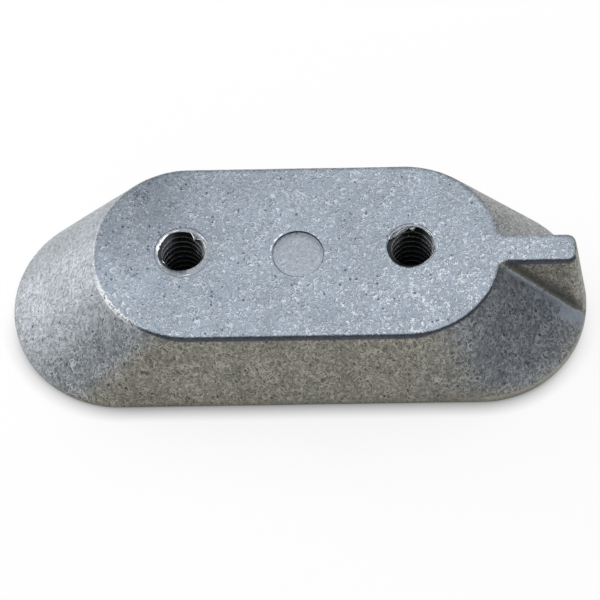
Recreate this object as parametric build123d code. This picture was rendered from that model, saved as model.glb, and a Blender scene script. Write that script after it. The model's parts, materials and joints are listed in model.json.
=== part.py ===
"""Hull anode: one aluminium casting with two blind tapped holes in its mounting face.

Millimetres, +Z up. The casting lies on its broad face. The origin is the middle of
that face, +X runs along the bar to the end that carries the fin, and the smaller
mounting face is on top.
"""

import os
from math import radians, tan

from build123d import *

# Broad face, which hangs in the water when the anode is fitted
base_length = 73.6
base_width = 27.8
rim_height = 1.2
rim_edge_chamfer = 0.2

# Mounting face
face_length = 50.8
face_width = 24.2
face_edge_radius = 0.6

height = 15.5

# Fin on one end, flush with the mounting face
fin_thickness = 4.0
fin_side_draft = 1.0
fin_end_draft = 7.3
fin_corner_radius = 1.2
fin_root_radius = 0.6

# Blind holes, drilled for a 1/4-20 UNC tap, with a drill point at the bottom
hole_spacing = 28.6
tap_drill_diameter = 5.1
hole_depth = 12.0
drill_point_angle = 118.0
countersink_diameter = 6.2
countersink_angle = 90.0

# Ejector pin mark in the middle of the mounting face
pin_mark_diameter = 6.5
pin_mark_depth = 0.12

# How far the flanks and the fin are carried on below the floor, before the rim trims them
run_off = 3.0

# Edges closer than this to a level lie on it
level_tolerance = 0.001


def slot_face(length, width, level):
    """A full-round slot outline at one level."""
    return Plane.XY.offset(level) * SlotOverall(length, width)


def at_level(base_size, face_size, level):
    """A length or width of the flanks, which run straight from the rim to the mounting face."""
    share = (level - rim_height) / (height - rim_height)
    return base_size + (face_size - base_size) * share


def flanks():
    """The ruled block between the two slots, carried on below the floor."""
    low_length = at_level(base_length, face_length, -run_off)
    low_width = at_level(base_width, face_width, -run_off)
    low_face = slot_face(low_length, low_width, -run_off)
    top_face = slot_face(face_length, face_width, height)
    return loft([low_face, top_face], ruled=True)


def leaning_slot():
    """The base outline carried up with the lean of the fin's end."""
    faces = []
    for level in (-run_off, height):
        change = 2 * (rim_height - level) * tan(radians(fin_end_draft))
        faces.append(slot_face(base_length + change, base_width + change, level))
    return loft(faces, ruled=True)


def fin():
    """A drafted web on the centreline, rounded at both corners of its leaning end."""
    half_top = fin_thickness / 2
    half_low = half_top + (height + run_off) * tan(radians(fin_side_draft))
    outline = Polyline(
        (-half_low, -run_off),
        (half_low, -run_off),
        (half_top, height),
        (-half_top, height),
        close=True,
    )
    web = extrude(Plane.YZ * make_face(outline), base_length) & leaning_slot()
    upright = web.edges().filter_by(lambda edge: abs((edge @ 0 - edge @ 1).Z) > height)
    end_corners = upright.filter_by(lambda edge: edge.center().X > 0)
    return fillet(end_corners.sort_by(Axis.X)[-2:], fin_corner_radius)


def edges_at(body, level):
    """The edges of a body that lie flat at one level."""
    low, high = level - level_tolerance, level + level_tolerance
    return body.edges().filter_by(
        lambda edge: low < edge.bounding_box().min.Z and edge.bounding_box().max.Z < high
    )


def blank():
    """The casting before it is drilled: fin blended into the flanks, rim upright, edges broken."""
    block = flanks()
    web = fin()
    joined = block + web
    valley = new_edges(block, web, combined=joined)
    valley = valley.filter_by(lambda edge: edge.center().Z < height - level_tolerance)
    blended = fillet(valley, fin_root_radius)
    trimmed = blended & extrude(slot_face(base_length, base_width, 0), height)
    rounded = fillet(edges_at(trimmed, height), face_edge_radius)
    return chamfer(edges_at(rounded, 0), rim_edge_chamfer)


def tapped_hole(x):
    """The drilled bore with its point, and the countersink at its mouth."""
    bore = tap_drill_diameter / 2
    mouth = countersink_diameter / 2
    countersink_depth = (mouth - bore) / tan(radians(countersink_angle / 2))
    point_depth = bore / tan(radians(drill_point_angle / 2))
    outline = Polyline(
        (0, height),
        (mouth, height),
        (bore, height - countersink_depth),
        (bore, height - hole_depth),
        (0, height - hole_depth - point_depth),
        close=True,
    )
    return Pos(X=x) * revolve(Plane.XZ * make_face(outline), Axis.Z)


def pin_mark():
    """The shallow round seat that the ejector pin leaves."""
    disc = Cylinder(pin_mark_diameter / 2, pin_mark_depth, align=(Align.CENTER, Align.CENTER, Align.MAX))
    return Pos(Z=height) * disc


def casting():
    """The finished anode."""
    body = blank()
    for side in (-1, 1):
        body -= tapped_hole(side * hole_spacing / 2)
    return body - pin_mark()


os.makedirs("parts", exist_ok=True)
anode = casting()
anode.label = "anode_casting"
export_step(anode, "parts/anode_casting.step")
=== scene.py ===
"""A hull anode cast in aluminium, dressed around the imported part.

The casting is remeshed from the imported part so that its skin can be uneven. Its two holes are
then tapped, and the ejector pin's mark is set into its mounting face. Burrs of torn metal lie
round both holes and the mark. Everything is in metres unless a comment says otherwise, in the
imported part's own frame: +X towards the fin, +Z up, the broad face on the floor.
"""

import json
import random
from math import atan2, cos, pi, radians, sin, tan

import bpy
import numpy as np
from bpy.props import FloatProperty, FloatVectorProperty, IntProperty, PointerProperty
from mathutils import Matrix, Vector


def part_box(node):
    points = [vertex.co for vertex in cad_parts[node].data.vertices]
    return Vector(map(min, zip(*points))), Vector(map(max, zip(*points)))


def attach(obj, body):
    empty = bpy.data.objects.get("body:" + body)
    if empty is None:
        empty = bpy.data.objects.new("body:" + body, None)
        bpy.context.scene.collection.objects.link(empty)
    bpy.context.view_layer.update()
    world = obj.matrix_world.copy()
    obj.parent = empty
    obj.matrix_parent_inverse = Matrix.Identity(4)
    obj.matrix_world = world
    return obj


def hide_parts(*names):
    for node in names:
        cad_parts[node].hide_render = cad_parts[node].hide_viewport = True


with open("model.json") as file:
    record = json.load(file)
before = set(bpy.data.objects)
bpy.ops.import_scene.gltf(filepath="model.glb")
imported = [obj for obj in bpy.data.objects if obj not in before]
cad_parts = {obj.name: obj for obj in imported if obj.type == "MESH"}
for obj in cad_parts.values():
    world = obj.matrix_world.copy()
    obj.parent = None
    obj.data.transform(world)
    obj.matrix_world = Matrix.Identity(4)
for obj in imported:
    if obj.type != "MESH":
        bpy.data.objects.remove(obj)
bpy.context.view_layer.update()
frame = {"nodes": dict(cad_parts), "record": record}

bl_info = {
    "name": "Hull anode",
    "version": (1, 0, 0),
    "blender": (4, 5, 0),
    "location": "View3D > Sidebar > Anode",
    "description": "Makes a cast hull anode with tapped holes around its packed part",
    "category": "Object",
}

NODE = "anode_casting"
MM = 0.001
PER_MM = 1000.0
DRILL_POINT = radians(118)
THREAD_FLANK = radians(30)

# Per hole, from left to right: how far it was drilled off its mark, where its thread starts, the
# diameter and shift of the shallow ring that the tap has pressed round its mouth, and the tongue of
# metal left there, as angles and distances from its axis in millimetres
HOLE_SHIFTS = (Vector((-0.05, 0.1, 0)) * MM, Vector((0.15, 0.35, 0)) * MM)
THREAD_STARTS = (radians(40), radians(75))
RINGS = ((7.1 * MM, Vector((0, 0, 0))), (6.3 * MM, Vector((-0.11, 0.22, 0)) * MM))
TONGUES = (
    ((72, 3.5), (72, 3.0), (62, 2.75), (50, 2.25), (48, 2.85), (30, 2.8), (12, 2.95), (5, 3.5), (40, 3.7)),
    ((78, 3.5), (80, 2.8), (88, 2.4), (97, 2.75), (141, 2.5), (158, 2.95), (160, 3.5), (118, 3.7)),
)

# Torn metal at the mouths of the holes and round the pin mark: the axis it lies round (left hole,
# right hole, pin mark), the angle in degrees and the distance off that axis in millimetres at its
# start and at its end, and its width in millimetres
BURRS = (
    (0, (122, 3.13), (188, 3.13), 0.34), (0, (188, 3.17), (222, 3.2), 0.07),
    (0, (96, 3.16), (120, 3.16), 0.10), (0, (72, 3.05), (51, 2.34), 0.09),
    (0, (49, 2.5), (36, 2.95), 0.08), (0, (58, 3.2), (20, 3.3), 0.10),
    (0, (30, 2.98), (8, 2.98), 0.07), (0, (268, 3.3), (292, 3.3), 0.09),
    (0, (204, 2.75), (216, 2.66), 0.07), (1, (54, 3.0), (20, 3.04), 0.12),
    (1, (60, 2.9), (30, 2.8), 0.05), (1, (76, 3.3), (86, 3.35), 0.10),
    (1, (82, 2.72), (96, 2.52), 0.09), (1, (98, 2.85), (143, 2.62), 0.05),
    (1, (112, 2.95), (134, 2.95), 0.05), (1, (150, 3.3), (158, 3.05), 0.10),
    (1, (346, 3.12), (372, 3.14), 0.06), (1, (60, 3.45), (70, 3.8), 0.12),
    (2, (122, 3.47), (134, 3.47), 0.15), (2, (136, 3.47), (152, 3.47), 0.17),
    (2, (156, 3.47), (174, 3.47), 0.13), (2, (184, 3.42), (189, 3.42), 0.12),
    (2, (201, 3.55), (205, 3.55), 0.14), (2, (66, 3.5), (70, 3.5), 0.12),
    (2, (38, 3.4), (43, 3.4), 0.12), (2, (340, 3.75), (344, 3.75), 0.13),
)

# Patches of fine cracks in the mounting face: where each lies and its radius, in millimetres
CRACKED = (
    (-20.6, -2.5, 0.9), (-12.4, -8.9, 0.7), (-9.3, 7.5, 0.5), (-19.6, 8.2, 1.3), (-15.5, 6.8, 0.7),
)

# Where the fin's front side meets the mounting face, half the fin's thickness, where the end's
# flank would meet the floor, and how steeply it falls, all in millimetres
FIN_ROOT = (25.7, -2.7)
FIN_HALF = 2.1
FLANK_FOOT = 37.75
FLANK_RISE = 1.254

# Colours that belong to the finishes, and colours of the painted shade, highlights and light laid over them
FACE_LINE = (0.68, 0.72, 0.77, 1)
FACE_PIT = (0.08, 0.095, 0.12, 1)
FACE_PAINTED_GLINT = (0.95, 0.96, 0.98, 1)
CRACK = (0.07, 0.08, 0.10, 1)
PAINTED_EDGE_SHADE = (0.058, 0.070, 0.092, 1)
WORN_EDGE_AND_HIGHLIGHT = (0.9, 0.92, 0.95, 1)
END_LINE = (0.59, 0.62, 0.655, 1)
WALL_LINE = (0.47, 0.45, 0.37, 1)
SHADED_LINE = (0.33, 0.345, 0.36, 1)
FLANK_PIT = (0.04, 0.04, 0.04, 1)
FIN_FOOT_SHADE = (0.082, 0.082, 0.074, 1)
BARE_STRIP = (0.30, 0.335, 0.385, 1)
PAINTED_RIM_HIGHLIGHT = (0.42, 0.40, 0.33, 1)
DISC_LINE = (0.50, 0.53, 0.58, 1)
DISC_PIT = (0.16, 0.18, 0.2, 1)
DISC_PAINTED_GLINT = (0.9, 0.9, 0.92, 1)
BORE_BLACK = (0.006, 0.0065, 0.007, 1)
PAINTED_BORE_LIGHT = (0.09, 0.10, 0.11, 1)
CREST = (0.92, 0.95, 1.0, 1)
CHIP = (0.5, 0.52, 0.55, 1)
LIP = (0.34, 0.37, 0.41, 1)
RING_WALL_SHADE = (0.075, 0.085, 0.10, 1)
FLOOR_FOR_LAMPS = (0.8, 0.8, 0.8, 1)
FLOOR_SEEN = (0.22, 0.22, 0.22, 1)

# How the panel shows lengths, shifts, turns and colours
LENGTH = {"precision": 5, "subtype": "DISTANCE", "unit": "LENGTH"}
SHIFT = {"size": 3, "precision": 5, "subtype": "TRANSLATION", "unit": "LENGTH"}
TURN = {"subtype": "ANGLE", "unit": "ROTATION"}
COLOUR = {"min": 0.0, "max": 1.0, "size": 3, "subtype": "COLOR"}

node_low, node_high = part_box(NODE)
holes = [mount for mount in frame["record"]["mounts"] if mount["kind"] == "threaded_hole"]
hole_centres = [Vector((mount["pos_m"][0], mount["pos_m"][1], node_high.z)) for mount in holes]
drill_radius = holes[0]["dims"]["r_mm"] * MM


# ---------------------------------------------------------------- settings

class AnodeCasting(bpy.types.PropertyGroup):
    """Sizes and colours of the casting's skin and of the ejector pin's mark."""

    skin_voxel: FloatProperty(
        name="Skin resolution", description="Edge length of the casting's remeshed skin",
        default=0.24 * MM, min=0.1 * MM, max=2 * MM, **LENGTH,
    )
    waviness: FloatProperty(
        name="Waviness", description="How deep the slow unevenness of the cast skin is",
        default=0.07 * MM, min=0.0, max=0.5 * MM, **LENGTH,
    )
    roughcast: FloatProperty(
        name="Rough cast", description="How deep the small unevenness of the cast skin is",
        default=0.05 * MM, min=0.0, max=0.5 * MM, **LENGTH,
    )
    pin_mark_diameter: FloatProperty(
        name="Pin mark diameter", description="Width of the round seat that the ejector pin left",
        default=6.55 * MM, min=1 * MM, max=12 * MM, **LENGTH,
    )
    pin_mark_shift: FloatVectorProperty(
        name="Pin mark shift", description="How far the ejector pin's mark lies off the middle of the face",
        default=(0.14 * MM, -0.38 * MM, 0.0), **SHIFT,
    )
    face_colour: FloatVectorProperty(
        name="Face colour", description="Base colour of the tumbled mounting face",
        default=(0.30, 0.35, 0.414), **COLOUR,
    )
    left_end_colour: FloatVectorProperty(
        name="Left end colour", description="Base colour of the silvery end away from the fin",
        default=(0.372, 0.402, 0.43), **COLOUR,
    )
    fin_end_colour: FloatVectorProperty(
        name="Fin end colour", description="Base colour of the end that carries the fin",
        default=(0.27, 0.275, 0.265), **COLOUR,
    )
    # The front of the fin's end is darkened with painted shade in this colour
    stained_colour: FloatVectorProperty(
        name="Shaded colour", description="Base colour of the dark stained part of the fin's end",
        default=(0.125, 0.14, 0.16), **COLOUR,
    )
    wall_colour: FloatVectorProperty(
        name="Wall colour", description="Base colour of the tan side walls",
        default=(0.195, 0.19, 0.163), **COLOUR,
    )
    disc_colour: FloatVectorProperty(
        name="Pin mark colour", description="Base colour of the disc that the ejector pin pressed",
        default=(0.30, 0.335, 0.385), **COLOUR,
    )


class AnodeThreads(bpy.types.PropertyGroup):
    """Sizes of the tapped holes."""

    outer_diameter: FloatProperty(
        name="Thread diameter", description="Outer diameter of the 1/4-20 UNC thread",
        default=6.35 * MM, min=3 * MM, max=12 * MM, **LENGTH,
    )
    pitch: FloatProperty(
        name="Thread pitch", description="Rise of the thread in one turn",
        default=1.27 * MM, min=0.5 * MM, max=3 * MM, **LENGTH,
    )
    mouth_diameter: FloatProperty(
        name="Mouth diameter", description="Width of the small chamfer at each hole's mouth",
        default=5.96 * MM, min=5 * MM, max=12 * MM, **LENGTH,
    )
    mouth_squash: FloatProperty(
        name="Mouth squash",
        description="Depth of the oval mouth from front to back, as a share of its width",
        default=0.93, min=0.8, max=1.0, subtype="FACTOR",
    )
    mouth_shift: FloatVectorProperty(
        name="Mouth shift", description="How far the chamfer at each mouth lies off the thread's axis",
        default=(-0.11 * MM, 0.22 * MM, 0.0), **SHIFT,
    )
    ring_depth: FloatProperty(
        name="Ring depth",
        description="Depth of the shallow ring that the tap has pressed round each mouth",
        default=0.06 * MM, min=0.01 * MM, max=0.5 * MM, **LENGTH,
    )
    depth: FloatProperty(
        name="Hole depth", description="Depth of the drilled hole's straight part",
        default=12.0 * MM, min=5 * MM, max=14 * MM, **LENGTH,
    )
    steps: IntProperty(
        name="Thread steps", description="Facets in one turn of the thread",
        default=72, min=16, max=128,
    )


class AnodeBurrs(bpy.types.PropertyGroup):
    """Size and colour of the torn metal at the cut edges."""

    thickness: FloatProperty(
        name="Burr thickness", description="How thick the slivers of torn metal are",
        default=0.15 * MM, min=0.02 * MM, max=1 * MM, **LENGTH,
    )
    raggedness: FloatProperty(
        name="Raggedness", description="How unevenly wide the slivers are",
        default=0.65, min=0.0, max=1.0, subtype="FACTOR",
    )
    colour: FloatVectorProperty(
        name="Burr colour", description="Colour of the freshly torn metal",
        default=(0.92, 0.94, 0.96), **COLOUR,
    )


class AnodeStage(bpy.types.PropertyGroup):
    """The camera and the lights."""

    azimuth: FloatProperty(
        name="Camera azimuth", description="Turn of the camera about the upright axis",
        default=radians(-2.83), **TURN,
    )
    elevation: FloatProperty(
        name="Camera elevation", description="Height of the camera above the horizon",
        default=radians(62.34), **TURN,
    )
    roll: FloatProperty(
        name="Camera roll", description="Tilt of the camera about its own axis",
        default=radians(3.42), **TURN,
    )
    distance: FloatProperty(
        name="Camera distance", description="From the camera to the middle of the casting",
        default=457.3 * MM, min=0.1, **LENGTH,
    )
    lens: FloatProperty(
        name="Lens", description="Focal length on a 36 mm wide sensor, in millimetres",
        default=216.0, min=10.0, max=1000.0,
    )
    aim_right: FloatProperty(
        name="Aim right", description="How far right of the casting's middle the camera aims",
        default=0.197 * MM, **LENGTH,
    )
    aim_down: FloatProperty(
        name="Aim down", description="How far below the casting's middle the camera aims",
        default=2.520 * MM, **LENGTH,
    )
    key_power: FloatProperty(
        name="Left softbox", description="Power of the softbox to the left, in watts",
        default=1.6, min=0.0,
    )
    top_power: FloatProperty(
        name="Top softbox", description="Power of the softbox overhead, in watts",
        default=3.2, min=0.0,
    )
    room_strength: FloatProperty(
        name="Room light", description="Strength of the even light from the room",
        default=0.3, min=0.0,
    )


# ---------------------------------------------------------------- working on meshes

def select_only(piece):
    """Leaves one object selected and active, in object mode."""
    if bpy.context.object and bpy.context.object.mode != "OBJECT":
        bpy.ops.object.mode_set(mode="OBJECT")
    bpy.ops.object.select_all(action="DESELECT")
    piece.select_set(True)
    bpy.context.view_layer.objects.active = piece


def edit(piece):
    """Goes into edit mode on one object, with nothing selected."""
    select_only(piece)
    bpy.ops.object.mode_set(mode="EDIT")
    bpy.ops.mesh.select_mode(type="FACE")
    bpy.ops.mesh.select_all(action="DESELECT")


def select_faces(piece, wanted):
    """Selects the faces for which wanted(centre, normal) holds, in an object that is being edited."""
    bpy.ops.mesh.select_all(action="DESELECT")
    bpy.ops.object.mode_set(mode="OBJECT")
    for face in piece.data.polygons:
        face.select = wanted(face.center, face.normal)
    bpy.ops.object.mode_set(mode="EDIT")


def delete_faces(piece, wanted):
    """Deletes the faces for which wanted(centre, normal) holds, in an object that is being edited."""
    select_faces(piece, wanted)
    bpy.ops.mesh.delete(type="FACE")


def close_openings(sides=0):
    """Fills the openings of the mesh that is being edited, up to a number of sides, or all for 0."""
    bpy.ops.mesh.select_all(action="SELECT")
    bpy.ops.mesh.fill_holes(sides=sides)


def finish_shell():
    """Turns the faces of the mesh that is being edited outwards, and leaves edit mode."""
    bpy.ops.mesh.select_all(action="SELECT")
    bpy.ops.mesh.normals_make_consistent(inside=False)
    bpy.ops.object.mode_set(mode="OBJECT")


def apply_modifier(piece, kind, **settings):
    """Adds a modifier with these settings and applies it."""
    select_only(piece)
    modifier = piece.modifiers.new(kind.title(), kind)
    for name, value in settings.items():
        setattr(modifier, name, value)
    bpy.ops.object.modifier_apply(modifier=modifier.name)


def cut(piece, tool, operation="DIFFERENCE"):
    """Cuts one closed mesh from another, or joins it on, and removes the tool."""
    apply_modifier(
        piece, "BOOLEAN", operation=operation, object=tool, solver="MANIFOLD", material_mode="TRANSFER"
    )
    bpy.data.objects.remove(tool)


def coat(piece, material):
    """Gives every face of an object one material."""
    piece.data.materials.clear()
    piece.data.materials.append(material)
    piece.data.polygons.foreach_set("material_index", [0] * len(piece.data.polygons))


def named(piece, name):
    """Gives an object and its mesh a name."""
    piece.name = name
    piece.data.name = name
    return piece


def polar(centre, angle, distance):
    """A point at an angle in degrees and a distance from an upright axis."""
    return centre + Vector((cos(radians(angle)), sin(radians(angle)), 0)) * distance


def settle(piece):
    """Puts an object's place, turn and scale into its mesh."""
    select_only(piece)
    bpy.ops.object.transform_apply(location=True, rotation=True, scale=True)


# ---------------------------------------------------------------- the casting

def plugged_blank():
    """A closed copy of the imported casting, with its holes and its pin mark filled in flush."""
    mesh = frame["nodes"][NODE].data.copy()
    blank = bpy.data.objects.new("casting", mesh)
    bpy.context.collection.objects.link(blank)
    mesh.materials.clear()
    edit(blank)
    bpy.ops.mesh.select_all(action="SELECT")
    bpy.ops.mesh.remove_doubles(threshold=0.0001 * MM)

    above_floor = 0.5 * MM
    sunk = node_high.z - 0.005 * MM
    reach = 3.6 * MM
    centres = hole_centres + [Vector((0, 0, node_high.z))]

    def in_a_hole(centre, normal):
        near = any((centre - axis).xy.length < reach for axis in centres)
        return near and above_floor < centre.z < sunk

    delete_faces(blank, in_a_hole)
    close_openings()
    bpy.ops.object.mode_set(mode="OBJECT")
    return blank


def lighten_underside(blank):
    """Makes the flat underside one face, which spares most of its points."""
    edit(blank)
    delete_faces(blank, lambda centre, normal: normal.z < -0.999 and centre.z < 0.1 * MM)
    close_openings()
    bpy.ops.object.mode_set(mode="OBJECT")


def roughen(blank, depth, size, pattern_place):
    """Moves the skin in or out by up to half a depth, in lumps of about a size."""
    lumps = bpy.data.textures.new("cast_lumps", "CLOUDS")
    lumps.noise_scale = size
    lumps.noise_depth = 2
    lumps.noise_basis = "ORIGINAL_PERLIN"
    marker = bpy.data.objects.new("lumps_place", None)
    marker.location = pattern_place
    bpy.context.collection.objects.link(marker)
    bpy.context.view_layer.update()
    apply_modifier(
        blank, "DISPLACE", texture=lumps, strength=depth, mid_level=0.5,
        texture_coords="OBJECT", texture_coords_object=marker,
    )
    bpy.data.objects.remove(marker)


def keep_in_box(piece):
    """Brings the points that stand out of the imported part's box back to just inside it."""
    margin = Vector((1, 1, 1)) * 0.01 * MM
    count = len(piece.data.vertices)
    points = np.empty(count * 3)
    piece.data.vertices.foreach_get("co", points)
    inside = np.clip(points.reshape(-1, 3), node_low + margin, node_high - margin)
    piece.data.vertices.foreach_set("co", inside.ravel())
    piece.data.update()


def thread_groove(centre, sizes, start_angle):
    """A helical ridge, run out above the face, that cuts the groove of one thread."""
    overlap = 0.15 * MM
    outer = sizes.outer_diameter / 2
    inner = drill_radius - overlap
    half_root = sizes.pitch / 16
    half_mouth = half_root + (outer - inner) * tan(THREAD_FLANK)
    turns = 9
    run_out = 0.8 * MM
    bottom = node_high.z + run_out - turns * sizes.pitch

    bpy.ops.mesh.primitive_plane_add(size=1, location=(0, 0, 0), rotation=(pi / 2, 0, 0))
    groove = bpy.context.object
    settle(groove)
    middle = (inner + outer) / 2
    corners = [(inner, -half_mouth), (outer, -half_root), (outer, half_root), (inner, half_mouth)]
    ordered = sorted(groove.data.vertices, key=lambda vertex: atan2(vertex.co.z, vertex.co.x))
    around = sorted(corners, key=lambda corner: atan2(corner[1], corner[0] - middle))
    for vertex, (radius, level) in zip(ordered, around):
        vertex.co = Vector((radius, 0, level))
    select_only(groove)
    apply_modifier(
        groove, "SCREW", axis="Z", angle=2 * pi, screw_offset=sizes.pitch, iterations=turns,
        steps=sizes.steps, render_steps=sizes.steps, use_merge_vertices=False,
    )
    edit(groove)
    close_openings(sides=4)
    finish_shell()
    groove.rotation_euler.z = start_angle
    groove.location = (centre.x, centre.y, bottom)
    settle(groove)
    return groove


def plate(centre, outline, top, thickness):
    """A thin flat piece, from its outline as angles in degrees and distances off an upright axis."""
    bpy.ops.object.select_all(action="DESELECT")
    bpy.ops.mesh.primitive_circle_add(vertices=len(outline), radius=1, fill_type="NGON")
    piece = bpy.context.object
    for vertex, (angle, distance) in zip(piece.data.vertices, outline):
        vertex.co = polar(centre, angle, distance * MM)
        vertex.co.z = top
    edit(piece)
    bpy.ops.mesh.select_all(action="SELECT")
    bpy.ops.mesh.extrude_region_move(TRANSFORM_OT_translate={"value": (0, 0, -thickness)})
    finish_shell()
    return piece


def tap_tool(centre, sizes, start_angle, ring_place, tongue_outline):
    """All that is cut away for one tapped hole, save for the torn tongue that stays at its mouth."""
    slack = 0.02 * MM
    chamfer_steepness = 0.7
    ring_wall = 0.08 * MM
    run_out = 1.5 * MM
    tongue_depth, tongue_thickness = 0.09 * MM, 0.25 * MM

    radius = drill_radius + slack
    mouth = sizes.mouth_diameter / 2
    ring_diameter, ring_shift = ring_place
    ring = ring_diameter / 2
    flat_ring = ring - ring_wall
    ring_depth = sizes.ring_depth
    chamfer = chamfer_steepness * (mouth - radius)
    floor = node_high.z - sizes.depth
    shoulder = node_high.z - ring_depth - chamfer
    bpy.ops.object.select_all(action="DESELECT")
    bpy.ops.mesh.primitive_cylinder_add(
        vertices=sizes.steps, radius=radius, depth=shoulder - floor,
        location=(centre.x, centre.y, (shoulder + floor) / 2),
    )
    tool = bpy.context.object
    settle(tool)
    edit(tool)
    select_faces(tool, lambda place, normal: normal.z < -0.9)
    bpy.ops.mesh.extrude_region_move(
        TRANSFORM_OT_translate={"value": (0, 0, -radius / tan(DRILL_POINT / 2))}
    )
    bpy.ops.mesh.merge(type="CENTER")
    select_faces(tool, lambda place, normal: normal.z > 0.9)
    aside = Vector(sizes.mouth_shift)
    squash = sizes.mouth_squash
    up = Vector((0, 0, 1))
    steps = (
        (mouth / radius, mouth * squash / radius, aside + up * chamfer),
        (flat_ring / mouth, flat_ring / mouth / squash, ring_shift - aside),
        (ring / flat_ring, ring / flat_ring, up * ring_depth),
    )
    for across, along, shift in steps:
        bpy.ops.mesh.extrude_region_move(TRANSFORM_OT_translate={"value": shift})
        bpy.ops.transform.resize(value=(across, along, 1))
    bpy.ops.mesh.extrude_region_move(TRANSFORM_OT_translate={"value": (0, 0, run_out)})
    bpy.ops.object.mode_set(mode="OBJECT")
    cut(tool, thread_groove(centre, sizes, start_angle), "UNION")
    cut(tool, plate(centre, tongue_outline, centre.z - tongue_depth, tongue_thickness))
    return named(tool, "tap_tool")


def pin_disc(looks):
    """The disc that the ejector pin left, a little tilted in its round seat."""
    seat = looks.pin_mark_diameter / 2
    gap = 0.12 * MM
    deep = 0.5 * MM
    slide = 0.09 * MM
    chamfer_width, chamfer_height = 0.05 * MM, 0.03 * MM
    border = 0.9 * MM
    top = node_high.z - 0.075 * MM
    low_side = Vector((-0.6, 0.8, 0)).normalized()
    tilt_axis = low_side.cross(Vector((0, 0, -1)))
    bpy.ops.object.select_all(action="DESELECT")
    bpy.ops.mesh.primitive_cylinder_add(
        vertices=128, radius=seat - gap, depth=deep, location=(0, 0, -deep / 2)
    )
    disc = bpy.context.object
    settle(disc)
    edit(disc)
    select_faces(disc, lambda place, normal: normal.z > 0.9)
    bpy.ops.mesh.inset(thickness=chamfer_width, depth=chamfer_height)
    bpy.ops.mesh.inset(thickness=border, depth=0)
    bpy.ops.object.mode_set(mode="OBJECT")
    tilt = Matrix.Rotation(radians(0.5), 4, tilt_axis)
    middle = Vector((0, 0, top)) + Vector(looks.pin_mark_shift)
    disc.matrix_world = Matrix.Translation(middle - low_side * slide) @ tilt
    settle(disc)
    return disc


def pin_seat(looks):
    """The round seat that is cut away round the disc."""
    deep = 0.35 * MM
    bpy.ops.object.select_all(action="DESELECT")
    bpy.ops.mesh.primitive_cylinder_add(
        vertices=128, radius=looks.pin_mark_diameter / 2, depth=deep + MM,
        location=Vector((0, 0, node_high.z + (MM - deep) / 2)) + Vector(looks.pin_mark_shift),
    )
    settle(bpy.context.object)
    return bpy.context.object


class ANODE_OT_add_casting(bpy.types.Operator):
    """Make the casting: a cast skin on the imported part, with both holes tapped"""

    bl_idname = "anode.add_casting"
    bl_label = "Casting"

    def execute(self, context):
        looks = context.scene.anode_casting
        threads = context.scene.anode_threads
        casting = plugged_blank()
        apply_modifier(casting, "REMESH", mode="VOXEL", voxel_size=looks.skin_voxel)
        apply_modifier(casting, "SMOOTH", factor=0.5, iterations=1)
        lighten_underside(casting)
        roughen(casting, looks.waviness, 5.0 * MM, (0.011, 0.003, 0.0))
        roughen(casting, looks.roughcast, 0.9 * MM, (0.0, 0.017, 0.005))
        keep_in_box(casting)
        coat(casting, cast_material(looks))
        cut_metal = thread_material()
        to_tap = zip(hole_centres, HOLE_SHIFTS, THREAD_STARTS, RINGS, TONGUES)
        for centre, shift, start, ring, tongue in to_tap:
            tool = tap_tool(centre + shift, threads, start, ring, tongue)
            coat(tool, cut_metal)
            cut(casting, tool)
        cut(casting, pin_seat(looks))
        disc = pin_disc(looks)
        coat(disc, disc_material(looks))
        cut(casting, disc, "UNION")
        select_only(casting)
        bpy.ops.object.shade_smooth_by_angle(angle=radians(32))
        named(casting, "casting")
        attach(casting, "root")
        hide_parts(NODE)
        return {"FINISHED"}


# ---------------------------------------------------------------- the burrs

def sliver(centre, start, end, width, top, sizes, chance):
    """A ragged crescent of torn metal, from one angle and distance off an upright axis to another."""
    count = max(4, round(abs(end[0] - start[0]) / 5))
    outer, inner = [], []
    for step in range(1, count):
        share = step / count
        swell = width / 2 * sin(pi * share) ** 0.6
        angle, distance = (first + (last - first) * share for first, last in zip(start, end))
        for side, direction in ((outer, 1), (inner, -1)):
            uneven = 1 + sizes.raggedness * chance.uniform(-1, 1)
            side.append((angle, distance + direction * swell * uneven))
    outline = [start, *outer, end, *reversed(inner)]
    return plate(centre, outline, top, sizes.thickness)


class ANODE_OT_add_burrs(bpy.types.Operator):
    """Make the burrs: slivers of bright torn metal at the mouths and round the pin mark"""

    bl_idname = "anode.add_burrs"
    bl_label = "Burrs"

    def execute(self, context):
        sizes = context.scene.anode_burrs
        looks = context.scene.anode_casting
        middle = Vector((0, 0, node_high.z)) + Vector(looks.pin_mark_shift)
        axes = [centre + shift for centre, shift in zip(hole_centres, HOLE_SHIFTS)] + [middle]
        chance = random.Random(11)
        top = node_high.z - 0.003 * MM
        slivers = [
            sliver(axes[axis], start, end, width, top, sizes, chance)
            for axis, start, end, width in BURRS
        ]
        bpy.ops.object.select_all(action="DESELECT")
        for piece in slivers:
            piece.select_set(True)
        context.view_layer.objects.active = slivers[0]
        bpy.ops.object.join()
        burrs = named(slivers[0], "burrs")
        coat(burrs, burr_material(sizes))
        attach(burrs, "root")
        return {"FINISHED"}


# ---------------------------------------------------------------- nodes

def fill(tree, node, values):
    """Gives a node's inputs values or links, by name or number."""
    for name, value in values.items():
        if isinstance(value, bpy.types.NodeSocket):
            tree.links.new(value, node.inputs[name])
        else:
            node.inputs[name].default_value = value


def add(tree, kind, values=None, **settings):
    """Adds a node with these settings, and values or links for its inputs."""
    node = tree.nodes.new(kind)
    for name, value in settings.items():
        setattr(node, name, value)
    fill(tree, node, values or {})
    return node


def maths(tree, operation, *values):
    """The result of a Math node."""
    return add(tree, "ShaderNodeMath", dict(enumerate(values)), operation=operation).outputs[0]


def less(tree, first, second):
    """The first value less the second."""
    return maths(tree, "SUBTRACT", first, second)


def product(tree, *values):
    """Several values multiplied together."""
    result = values[0]
    for value in values[1:]:
        result = maths(tree, "MULTIPLY", result, value)
    return result


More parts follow.
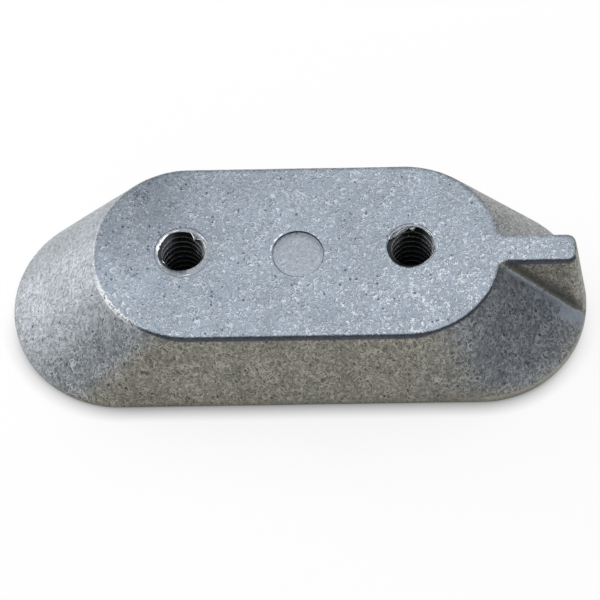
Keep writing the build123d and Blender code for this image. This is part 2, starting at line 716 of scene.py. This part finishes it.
def moved(tree, vector, shift):
    """A place moved by a fixed shift."""
    return add(tree, "ShaderNodeVectorMath", {0: vector, 1: shift}).outputs[0]


def length_of(tree, vector):
    """The length of a vector."""
    return add(tree, "ShaderNodeVectorMath", {0: vector}, operation="LENGTH").outputs["Value"]


def parts(tree, vector):
    """The X, Y and Z of a vector."""
    return add(tree, "ShaderNodeSeparateXYZ", {0: vector}).outputs


def facing(tree):
    """The X, Y and Z of the way the surface faces."""
    return parts(tree, tree.nodes.new("ShaderNodeNewGeometry").outputs["Normal"])


def ramp(tree, value, low, high, start=0.0, end=1.0):
    """A value eased from start to end as it goes from low to high."""
    values = {"Value": value, "From Min": low, "From Max": high, "To Min": start, "To Max": end}
    return add(tree, "ShaderNodeMapRange", values, interpolation_type="SMOOTHSTEP").outputs[0]


def by_zone(tree, zone, outside, inside):
    """A value that goes over to another one inside a zone."""
    return ramp(tree, zone, 0.0, 1.0, outside, inside)


def blend(tree, factor, first, second):
    """Two colours mixed by a factor."""
    return add(tree, "ShaderNodeMix", {0: factor, 6: first, 7: second}, data_type="RGBA").outputs[2]


def scaled(tree, colour, factor):
    """A colour made lighter or darker by a factor."""
    vector = colour if isinstance(colour, bpy.types.NodeSocket) else colour[:3]
    return add(tree, "ShaderNodeVectorMath", {0: vector, "Scale": factor}, operation="SCALE").outputs[0]


def noise(tree, place, density, detail, **more):
    """The value of a cloudy noise."""
    values = {"Vector": place, "Scale": density, "Detail": detail, **more}
    return add(tree, "ShaderNodeTexNoise", values).outputs["Fac"]


def bumped(tree, height, strength, distance):
    """The way the surface faces once it has a relief."""
    values = {"Height": height, "Strength": strength, "Distance": distance}
    return add(tree, "ShaderNodeBump", values).outputs[0]


def opaque(colour):
    """A colour with its alpha."""
    return (*colour, 1.0)


def new_group(name, inputs, output):
    """An empty shader node group, what it is given, and the socket that it puts out."""
    group = bpy.data.node_groups.new(name, "ShaderNodeTree")
    for socket, default in inputs.items():
        kind = "NodeSocketVector" if default is None else "NodeSocketFloat"
        made = group.interface.new_socket(socket, in_out="INPUT", socket_type=kind)
        if default is not None:
            made.default_value = default
    group.interface.new_socket(output, in_out="OUTPUT", socket_type="NodeSocketFloat")
    given = group.nodes.new("NodeGroupInput").outputs
    return group, given, group.nodes.new("NodeGroupOutput").inputs[output]


def crystal_lines():
    """Short curly lines, such as the dendrites in a cast skin."""
    group, given, mask = new_group(
        "crystal_lines", {"Place": None, "Density": 1.6, "Width": 0.035, "Share": 0.5}, "Mask"
    )
    field = noise(group, given["Place"], given["Density"], 1.5, Roughness=0.6, Distortion=0.7)
    away = maths(group, "ABSOLUTE", less(group, field, 0.5))
    line = ramp(group, away, 0.0, given["Width"], 1.0, 0.0)
    elsewhere = moved(group, given["Place"], (31.0, 17.0, 9.0))
    patch = noise(group, elsewhere, product(group, given["Density"], 0.6), 2.0)
    limit = less(group, 0.78, product(group, given["Share"], 0.5))
    kept = ramp(group, patch, limit, maths(group, "ADD", limit, 0.12))
    group.links.new(product(group, line, kept), mask)
    return group


def specks():
    """Small round specks of uneven size, one in some of the cells of a grid."""
    group, given, mask = new_group(
        "specks", {"Place": None, "Density": 1.5, "Size": 0.25, "Share": 0.3}, "Mask"
    )
    grid = {"Vector": given["Place"], "Scale": given["Density"]}
    cells = add(group, "ShaderNodeTexVoronoi", grid).outputs
    chance = add(group, "ShaderNodeSeparateColor", {"Color": cells["Color"]}).outputs
    size = product(group, given["Size"], maths(group, "ADD", 0.4, chance["Green"]))
    near = ramp(group, cells["Distance"], product(group, size, 0.4), size, 1.0, 0.0)
    chosen = maths(group, "LESS_THAN", chance["Red"], given["Share"])
    group.links.new(product(group, near, chosen), mask)
    return group


def mottle():
    """Soft cloudy variation about a middle of 0.5."""
    group, given, value = new_group("mottle", {"Place": None, "Density": 0.4, "Contrast": 1.0}, "Value")
    cloud = noise(group, given["Place"], given["Density"], 5.0, Roughness=0.65)
    spread = product(group, less(group, cloud, 0.5), given["Contrast"])
    group.links.new(maths(group, "ADD", spread, 0.5), value)
    return group


def effect(tree, maker, **values):
    """What a node group puts out here, for values or links. Its maker runs only the first time."""
    group = bpy.data.node_groups.get(maker.__name__) or maker()
    values = {name.capitalize(): value for name, value in values.items()}
    return add(tree, "ShaderNodeGroup", values, node_tree=group).outputs[0]


def new_material(name):
    """A material with a Principled shader, and the object's coordinates in millimetres."""
    material = bpy.data.materials.new(name)
    material.use_nodes = True
    tree = material.node_tree
    coordinates = tree.nodes.new("ShaderNodeTexCoord").outputs["Object"]
    in_mm = add(tree, "ShaderNodeMapping", {"Vector": coordinates, "Scale": (PER_MM,) * 3}).outputs[0]
    return material, tree, tree.nodes["Principled BSDF"], in_mm


# ---------------------------------------------------------------- materials

def off_axis(tree, in_mm):
    """Distance from the axis of the nearer tapped hole, in millimetres."""
    distances = []
    for centre, shift in zip(hole_centres, HOLE_SHIFTS):
        away = moved(tree, in_mm, (centre + shift) * -PER_MM)
        level = add(tree, "ShaderNodeVectorMath", {0: away, 1: (1, 1, 0)}, operation="MULTIPLY").outputs[0]
        distances.append(length_of(tree, level))
    return maths(tree, "MINIMUM", *distances)


def grained(tree, in_mm, colours, line, dark, pit, painted_glint, tone_depth, pit_share, painted_glint_share):
    """A colour with crystalline lines, pits and specks of painted highlight over it, its relief and its
    fine tone.

    The colours are those of the metal, its lines, its pits and its painted highlights. The next four
    values say how strongly the lines, the painted shade along one side of each line, the pits and
    the painted highlights show, the fifth how far the metal's tone wanders, and the shares how many
    places hold a pit or a painted highlight.
    """
    metal_colour, line_colour, pit_colour, painted_glint_colour = colours
    shifted = moved(tree, in_mm, (7.3, 2.9, 4.1))
    # A copy of the lines moved a little aside lays painted shade along one side of each line
    beside = moved(tree, in_mm, (0.09, -0.09, 0.06))
    coarse = effect(tree, crystal_lines, place=in_mm, density=1.15, width=0.045, share=0.8)
    shade = effect(tree, crystal_lines, place=beside, density=1.15, width=0.045, share=0.8)
    thin = effect(tree, crystal_lines, place=shifted, density=1.8, width=0.055, share=0.95)
    lines = maths(tree, "MAXIMUM", coarse, product(tree, thin, 0.8))
    line_shadows = maths(tree, "MAXIMUM", less(tree, shade, lines), 0.0)
    pits = effect(tree, specks, place=in_mm, density=1.5, size=0.26, share=pit_share)
    # Specks of painted highlight
    painted_glints = effect(tree, specks, place=shifted, density=2.0, size=0.22, share=painted_glint_share)
    fine = effect(tree, mottle, place=in_mm, density=2.6)

    tone = ramp(tree, fine, 0.28, 0.72, 1.0 - tone_depth, 1.0 + tone_depth)
    colour = scaled(tree, metal_colour, less(tree, tone, product(tree, line_shadows, dark)))
    colour = blend(tree, product(tree, lines, line), colour, line_colour)
    colour = blend(tree, product(tree, pits, pit), colour, pit_colour)
    colour = blend(tree, product(tree, painted_glints, painted_glint), colour, painted_glint_colour)

    relief = maths(tree, "ADD", product(tree, lines, 0.5), fine)
    return colour, less(tree, relief, pits), fine


def skin_zones(tree, in_mm):
    """Masks for the zones of the cast skin, by where a point lies and which way it faces.

    Places are in millimetres and directions run from -1 to 1. The jitter frays each zone's border.
    """
    spot, normal = parts(tree, in_mm), facing(tree)
    top = node_high.z * PER_MM
    ragged = effect(tree, mottle, place=in_mm, density=2.2)
    jitter = product(tree, less(tree, ragged, 0.5), 0.3)
    toward_front = product(tree, normal["Y"], -1.0)
    front = product(tree, spot["Y"], -1.0)
    left = product(tree, spot["X"], -1.0)
    level = maths(tree, "ADD", spot["Z"], jitter)
    below_top = maths(tree, "ADD", less(tree, top, spot["Z"]), jitter)
    flat = maths(tree, "ADD", normal["Z"], jitter)
    side = maths(tree, "ADD", maths(tree, "ABSOLUTE", normal["Y"]), jitter)

    # The painted shade along the front edge is thinner round the face's ends, and stops at the fin's root
    round_end = product(
        tree, ramp(tree, maths(tree, "ABSOLUTE", spot["X"]), 13.0, 19.0), ramp(tree, spot["X"], 25.6, 25.0)
    )
    edge_depth = by_zone(tree, round_end, 0.75, 0.38)
    nearly_even = less(tree, below_top, product(tree, jitter, 0.6))
    high = ramp(tree, less(tree, nearly_even, edge_depth), 0.15, -0.15)
    off_root = length_of(tree, moved(tree, in_mm, (-FIN_ROOT[0], -FIN_ROOT[1], -top)))

    # The bare strip beside the fin is cloudy, and wider low down
    beside_fin = less(tree, maths(tree, "ABSOLUTE", spot["Y"]), FIN_HALF)
    cloud = effect(tree, mottle, place=in_mm, density=0.7, contrast=9.0)
    strip_width = maths(tree, "ADD", ramp(tree, spot["Z"], 0.0, top, 1.4, 0.3), cloud)
    past_foot = less(tree, spot["X"], FLANK_FOOT)
    above_flank = maths(tree, "ADD", spot["Z"], product(tree, past_foot, FLANK_RISE))
    on_fin_end = product(
        tree, ramp(tree, spot["X"], 32.5, 34.0), ramp(tree, beside_fin, 0.4, 0.0), 0.85
    )
    return {
        "face": ramp(tree, flat, 0.80, 0.92),
        "wall": maths(tree, "MAXIMUM", ramp(tree, side, 0.80, 0.96), on_fin_end),
        # Painted shade along the rounded front edge of the face
        "painted_edge_shade": product(
            tree, high, ramp(tree, flat, 0.97, 0.86),
            ramp(tree, toward_front, 0.12, 0.4), ramp(tree, off_root, 0.7, 1.4),
        ),
        # Wear along the left end's upper edge towards the front, brightened with a painted highlight
        "worn_edge_and_highlight": product(
            tree, ramp(tree, below_top, 0.62, 0.36), ramp(tree, flat, 0.985, 0.93),
            ramp(tree, front, 2.0, 6.0), ramp(tree, front, 11.0, 9.0), ramp(tree, left, 18.0, 20.0),
        ),
        "root": product(
            tree, ramp(tree, spot["X"], 25.0, 26.0), ramp(tree, beside_fin, 0.0, 0.25),
            ramp(tree, less(tree, beside_fin, strip_width), 1.0, -0.6),
            ramp(tree, spot["Z"], top - 0.6, top - 1.4),
        ),
        "fin_foot": product(
            tree, ramp(tree, spot["X"], 25.2, 26.0), ramp(tree, beside_fin, 1.2, 0.6),
            ramp(tree, above_flank, 4.2, 0.4), ramp(tree, side, 0.5, 0.85),
        ),
        # Painted shade on the front of the fin's end, weaker low down
        "shaded": product(
            tree, ramp(tree, spot["X"], 13.0, 27.0), ramp(tree, front, 2.2, 2.9),
            ramp(tree, spot["Z"], 1.2, 5.0, 0.35, 1.0),
        ),
        "far_left": product(tree, ramp(tree, left, 2.0, 22.0), ramp(tree, front, 7.0, -9.0)),
        "right_front": maths(
            tree, "MAXIMUM", product(tree, ramp(tree, left, 4.0, -18.0), ramp(tree, front, -7.0, 7.0)),
            ramp(tree, spot["X"], 22.0, 28.0),
        ),
        "left_half": ramp(tree, left, -4.0, 4.0),
        # Painted shade on the front of the left end
        "left_front_shade": ramp(tree, front, 5.5, 12.0),
        "silvery": product(tree, ramp(tree, left, 18.0, 26.0), ramp(tree, front, 11.0, 5.0)),
        "pitted": ramp(tree, left, 10.0, 20.0),
        "rim": ramp(tree, level, 1.55, 1.25),
        # Painted shade just above the floor
        "painted_foot_shade": ramp(tree, level, 0.45, 0.2),
    }


def cracks(tree, in_mm):
    """A mask for the fine dark cracks that crowd together in a few places of the mounting face."""
    patch = 0.0
    for across, along, radius in CRACKED:
        distance = length_of(tree, moved(tree, in_mm, (-across, -along, -node_high.z * PER_MM)))
        patch = maths(tree, "MAXIMUM", patch, ramp(tree, distance, radius * 1.2, radius * 0.7))
    elsewhere = moved(tree, in_mm, (3.7, 8.1, 1.9))
    return product(
        tree, patch, effect(tree, crystal_lines, place=elsewhere, density=1.5, width=0.05, share=1.2)
    )


def face_finish(tree, in_mm, zones, looks):
    """The tumbled bluish mounting face: its colour, relief and fine tone."""
    colour, relief, fine = grained(
        tree, in_mm, (opaque(looks.face_colour), FACE_LINE, FACE_PIT, FACE_PAINTED_GLINT),
        line=by_zone(tree, zones["right_front"], 0.6, 0.9),
        dark=0.42, pit=0.75, painted_glint=0.75, tone_depth=0.24,
        pit_share=by_zone(tree, zones["pitted"], 0.16, 0.42),
        painted_glint_share=by_zone(tree, zones["right_front"], 0.1, 0.38),
    )
    colour = scaled(tree, colour, by_zone(tree, zones["far_left"], 1.01, 0.70))
    return blend(tree, product(tree, cracks(tree, in_mm), 0.85), colour, CRACK), relief, fine


def flank_finish(tree, in_mm, zones, looks):
    """The grey ends, the tan side walls and the rim: their colour and relief, with painted shade on the
    front of each end, at the bottom of the fin's wall and just above the floor, and a painted highlight on
    the rim.
    """
    stretched = add(tree, "ShaderNodeMapping", {"Vector": in_mm, "Scale": (0.88, 0.88, 0.55)}).outputs[0]
    # The front of the left end is darkened with painted shade
    left_front_shade = by_zone(tree, zones["left_front_shade"], 1.0, 0.62)
    left_end = scaled(tree, opaque(looks.left_end_colour), left_front_shade)
    metal = blend(tree, zones["left_half"], opaque(looks.fin_end_colour), left_end)
    metal = blend(tree, zones["wall"], metal, opaque(looks.wall_colour))
    # Painted shade on the front of the fin's end, with its lines
    metal = blend(tree, zones["shaded"], metal, opaque(looks.stained_colour))
    line = blend(tree, zones["wall"], END_LINE, WALL_LINE)
    line = blend(tree, zones["shaded"], line, SHADED_LINE)
    colour, relief, _ = grained(
        tree, stretched, (metal, line, FLANK_PIT, line),
        line=by_zone(tree, zones["silvery"], 0.8, 0.6),
        dark=by_zone(tree, zones["silvery"], 0.6, 0.34),
        pit=0.8, painted_glint=0.7, tone_depth=0.42,
        pit_share=by_zone(tree, zones["silvery"], 0.25, 0.07), painted_glint_share=0.16,
    )
    colour = blend(tree, product(tree, zones["fin_foot"], 0.85), colour, FIN_FOOT_SHADE)
    bare = ramp(tree, less(tree, zones["root"], zones["fin_foot"]), 0.1, 0.9)
    colour = blend(tree, product(tree, bare, 0.85), colour, BARE_STRIP)
    # A painted highlight along the band at the base, strongest where the fin's end has painted shade
    painted_rim_highlight = product(tree, zones["rim"], ramp(tree, zones["shaded"], 0.0, 0.4, 0.15, 0.65))
    colour = blend(tree, painted_rim_highlight, colour, PAINTED_RIM_HIGHLIGHT)
    # Painted shade darkens the skin just above the floor
    return scaled(tree, colour, by_zone(tree, zones["painted_foot_shade"], 1.0, 0.6)), relief


def cast_material(looks):
    """The casting's skin: a tumbled bluish face, grey ends, and tan side walls."""
    material, tree, shader, in_mm = new_material("cast_skin")
    zones = skin_zones(tree, in_mm)
    broad = effect(tree, mottle, place=in_mm, density=0.22)
    face, face_relief, fine = face_finish(tree, in_mm, zones, looks)
    flank, flank_relief = flank_finish(tree, in_mm, zones, looks)

    skin = blend(tree, zones["face"], flank, face)
    skin = scaled(tree, skin, ramp(tree, broad, 0.25, 0.75, 0.88, 1.1))
    # Painted shade along the rounded front edge of the face
    skin = blend(tree, product(tree, zones["painted_edge_shade"], 0.9), skin, PAINTED_EDGE_SHADE)
    # Wear along the left end's upper edge, brightened with a painted highlight
    speckled = ramp(tree, fine, 0.34, 0.54)
    skin = blend(tree, product(tree, zones["worn_edge_and_highlight"], speckled, 0.95), skin, WORN_EDGE_AND_HIGHLIGHT)

    reliefs = {0: zones["face"], 2: flank_relief, 3: face_relief}
    relief = add(tree, "ShaderNodeMix", reliefs, data_type="FLOAT").outputs[0]
    relief = product(tree, relief, by_zone(tree, zones["root"], 1.0, 0.3))
    fill(tree, shader, {
        "Base Color": skin,
        "Metallic": 0.85,
        "Roughness": ramp(tree, fine, 0.25, 0.75, 0.36, 0.6),
        "Normal": bumped(tree, relief, 1.0, 0.045 * MM),
    })
    return material


def burr_material(sizes):
    """Freshly torn metal, bright and smooth."""
    material, tree, shader, in_mm = new_material("torn_metal")
    fine = effect(tree, mottle, place=in_mm, density=5.0)
    fill(tree, shader, {
        "Base Color": scaled(tree, opaque(sizes.colour), ramp(tree, fine, 0.3, 0.55, 0.55, 1.0)),
        "Metallic": 0.7,
        "Roughness": 0.5,
    })
    return material


def disc_material(looks):
    """The pin's mark, pressed smoother and a little warmer than the face round it."""
    material, tree, shader, in_mm = new_material("pin_mark")
    skin, relief, fine = grained(
        tree, in_mm, (opaque(looks.disc_colour), DISC_LINE, DISC_PIT, DISC_PAINTED_GLINT),
        line=0.5, dark=0.35, pit=0.6, painted_glint=0.5, tone_depth=0.2, pit_share=0.3, painted_glint_share=0.06,
    )
    fill(tree, shader, {
        "Base Color": skin,
        "Metallic": 0.85,
        "Roughness": ramp(tree, fine, 0.25, 0.75, 0.4, 0.55),
        "Normal": bumped(tree, relief, 0.6, 0.02 * MM),
    })
    return material


def thread_material():
    """The cut metal of the threads: near black, lighter only on the crests, which are part bare metal and
    part painted highlight, on the sides near the mouth, which carry painted light, and on the lip.
    """
    material, tree, shader, in_mm = new_material("cut_thread")
    radius, level = off_axis(tree, in_mm), parts(tree, in_mm)["Z"]
    bore, top = drill_radius * PER_MM, node_high.z * PER_MM
    sideways = maths(tree, "ABSOLUTE", facing(tree)["X"])
    fine = effect(tree, mottle, place=in_mm, density=4.0)
    chips = effect(tree, specks, place=in_mm, density=1.5, size=0.16, share=0.07)

    # Down the hole: near black metal, painted light on its sides near the mouth, crests that are part bare
    # metal and part painted highlight, and a few chips
    # Painted light on the sides of the bore near the mouth
    lit = product(tree, ramp(tree, sideways, 0.15, 0.5), ramp(tree, level, top - 4.0, top - 0.8))
    metal = blend(tree, lit, BORE_BLACK, PAINTED_BORE_LIGHT)
    # The crests are part bare metal and part painted highlight, strongest where they face sideways
    worn_and_painted_highlight = product(
        tree, ramp(tree, radius, bore + 0.05, bore + 0.09, 1.0, 0.0), ramp(tree, fine, 0.3, 0.6),
        ramp(tree, sideways, 0.35, 0.8, 0.12, 1.0), ramp(tree, level, top - 8.0, top - 1.0, 0.4, 1.0),
    )
    metal = blend(tree, worn_and_painted_highlight, metal, CREST)
    metal = blend(tree, product(tree, chips, 0.8), metal, CHIP)

    # At the mouth: the pressed ring with its outline of painted shade, broken up, and the torn tongue below
    # it
    lip = ramp(tree, level, top - 0.13, top - 0.065)
    torn = ramp(tree, level, top - 0.072, top - 0.085)
    torn_tone = product(tree, torn, ramp(tree, fine, 0.38, 0.6, 0.1, 0.75))
    smooth = less(tree, 1.0, torn)
    smooth_tone = product(tree, smooth, ramp(tree, fine, 0.36, 0.62, 0.5, 0.9))
    tone = maths(tree, "ADD", torn_tone, smooth_tone)
    metal = blend(tree, lip, metal, scaled(tree, LIP, tone))
    # Painted shade on the upper part of the ring's outer wall, broken up
    ring_wall_shade = ramp(tree, level, top - 0.05, top - 0.035)
    broken_ring_shade = product(tree, ring_wall_shade, ramp(tree, fine, 0.58, 0.42, 0.45, 1.0))
    metal = blend(tree, broken_ring_shade, metal, RING_WALL_SHADE)
    fill(tree, shader, {
        "Base Color": metal,
        "Metallic": ramp(tree, worn_and_painted_highlight, 0.0, 0.6, 0.95, 0.1),
        "Specular IOR Level": 0.2,
        "Roughness": ramp(tree, fine, 0.3, 0.7, 0.3, 0.45),
        "Normal": bumped(tree, fine, 0.5, 0.02 * MM),
    })
    return material


# ---------------------------------------------------------------- the stage

def add_softbox(name, position, width, depth, power):
    """A rectangular area lamp that faces the casting."""
    bpy.ops.object.light_add(type="AREA")
    lamp = bpy.context.object
    lamp.name = name
    lamp.data.shape = "RECTANGLE"
    lamp.data.size = width
    lamp.data.size_y = depth
    lamp.data.energy = power
    lamp.location = position
    toward_casting = Vector((0, 0, 0)) - Vector(position)
    lamp.rotation_euler = toward_casting.to_track_quat("-Z", "Y").to_euler()


def add_camera(stage):
    """The camera, from its turn, height, roll and aim."""
    camera = bpy.data.objects.new("camera", bpy.data.cameras.new("camera"))
    bpy.context.collection.objects.link(camera)
    right = Vector((1, 0, 0))
    upward = Vector((0, sin(stage.elevation), cos(stage.elevation)))
    forward = Vector((0, cos(stage.elevation), -sin(stage.elevation)))
    rolled_right = right * cos(stage.roll) - upward * sin(stage.roll)
    rolled_up = right * sin(stage.roll) + upward * cos(stage.roll)
    turn = Matrix.Rotation(-stage.azimuth, 3, "Z")
    middle = Vector((0, 0, node_high.z / 2))
    offset = rolled_right * stage.aim_right - rolled_up * stage.aim_down - forward * stage.distance
    axes = Matrix((turn @ rolled_right, turn @ rolled_up, turn @ -forward)).transposed()
    camera.matrix_world = Matrix.Translation(middle + turn @ offset) @ axes.to_4x4()
    camera.data.sensor_width = 36.0
    camera.data.lens = stage.lens
    camera.data.clip_start = 0.01
    bpy.context.scene.camera = camera


def floor_material():
    """A pale floor that reads as white to the camera and still takes the casting's shadow."""
    material, tree, shader, in_mm = new_material("pale_floor")
    path = tree.nodes.new("ShaderNodeLightPath").outputs
    seen = maths(tree, "MAXIMUM", path["Is Camera Ray"], path["Is Glossy Ray"])
    spot = parts(tree, in_mm)

    # The contact shadow is painted into the floor's colour and glow from ambient occlusion; it lies along
    # the front of the casting and fades towards both its ends
    open_air = add(tree, "ShaderNodeAmbientOcclusion", {"Distance": 2.2 * MM}, samples=16).outputs["AO"]
    contact = product(
        tree, less(tree, 1.0, open_air), 1.28, ramp(tree, spot["Y"], 2.0, -9.0),
        ramp(tree, spot["X"], 29.0, 37.0, 1.0, 0.45), ramp(tree, spot["X"], -20.0, -33.0, 1.0, 0.72),
    )
    clear = less(tree, 1.0, contact)
    pale = blend(tree, seen, FLOOR_FOR_LAMPS, FLOOR_SEEN)
    fill(tree, shader, {
        "Base Color": scaled(tree, pale, clear),
        "Roughness": 0.9,
        "Specular IOR Level": 0.1,
    })
    strength = product(tree, seen, clear, 0.79)
    glow = add(tree, "ShaderNodeEmission", {"Color": (1, 1, 1, 1), "Strength": strength})
    both = add(tree, "ShaderNodeAddShader", {0: shader.outputs[0], 1: glow.outputs[0]})
    tree.links.new(both.outputs[0], tree.nodes["Material Output"].inputs["Surface"])
    return material


def light_the_room(strength):
    """Even grey light from all round."""
    world = bpy.data.worlds.new("room")
    world.use_nodes = True
    background = world.node_tree.nodes["Background"]
    background.inputs["Color"].default_value = (1, 1, 1, 1)
    background.inputs["Strength"].default_value = strength
    bpy.context.scene.world = world


class ANODE_OT_set_stage(bpy.types.Operator):
    """Set up the floor, the softboxes, the room's light and the camera"""

    bl_idname = "anode.set_stage"
    bl_label = "Stage"

    def execute(self, context):
        stage = context.scene.anode_stage
        add_camera(stage)
        bpy.ops.object.select_all(action="DESELECT")
        bpy.ops.mesh.primitive_plane_add(size=6.0, location=(0, 0, 0))
        floor = named(context.object, "floor")
        floor.data.materials.append(floor_material())
        add_softbox("left_softbox", (-0.6, 0.22, 0.17), 0.4, 0.3, stage.key_power)
        add_softbox("top_softbox", (0.0, 0.1, 0.6), 0.9, 0.8, stage.top_power)
        light_the_room(stage.room_strength)
        context.scene.view_settings.view_transform = "Standard"
        return {"FINISHED"}


# ---------------------------------------------------------------- the add-on

class ANODE_PT_panel(bpy.types.Panel):
    """Buttons for each piece and for the stage"""

    bl_idname = "ANODE_PT_panel"
    bl_label = "Hull anode"
    bl_space_type = "VIEW_3D"
    bl_region_type = "UI"
    bl_category = "Anode"

    def draw(self, context):
        for operator in (ANODE_OT_add_casting, ANODE_OT_add_burrs, ANODE_OT_set_stage):
            self.layout.operator(operator.bl_idname)


classes = (
    AnodeCasting, AnodeThreads, AnodeBurrs, AnodeStage, ANODE_OT_add_casting, ANODE_OT_add_burrs,
    ANODE_OT_set_stage, ANODE_PT_panel,
)


def register():
    for made in classes:
        bpy.utils.register_class(made)
    bpy.types.Scene.anode_casting = PointerProperty(type=AnodeCasting)
    bpy.types.Scene.anode_threads = PointerProperty(type=AnodeThreads)
    bpy.types.Scene.anode_burrs = PointerProperty(type=AnodeBurrs)
    bpy.types.Scene.anode_stage = PointerProperty(type=AnodeStage)


def unregister():
    del bpy.types.Scene.anode_stage
    del bpy.types.Scene.anode_burrs
    del bpy.types.Scene.anode_threads
    del bpy.types.Scene.anode_casting
    for made in reversed(classes):
        bpy.utils.unregister_class(made)


def main():
    register()
    bpy.ops.anode.add_casting()
    bpy.ops.anode.add_burrs()
    bpy.ops.anode.set_stage()


if __name__ == "__main__":
    main()
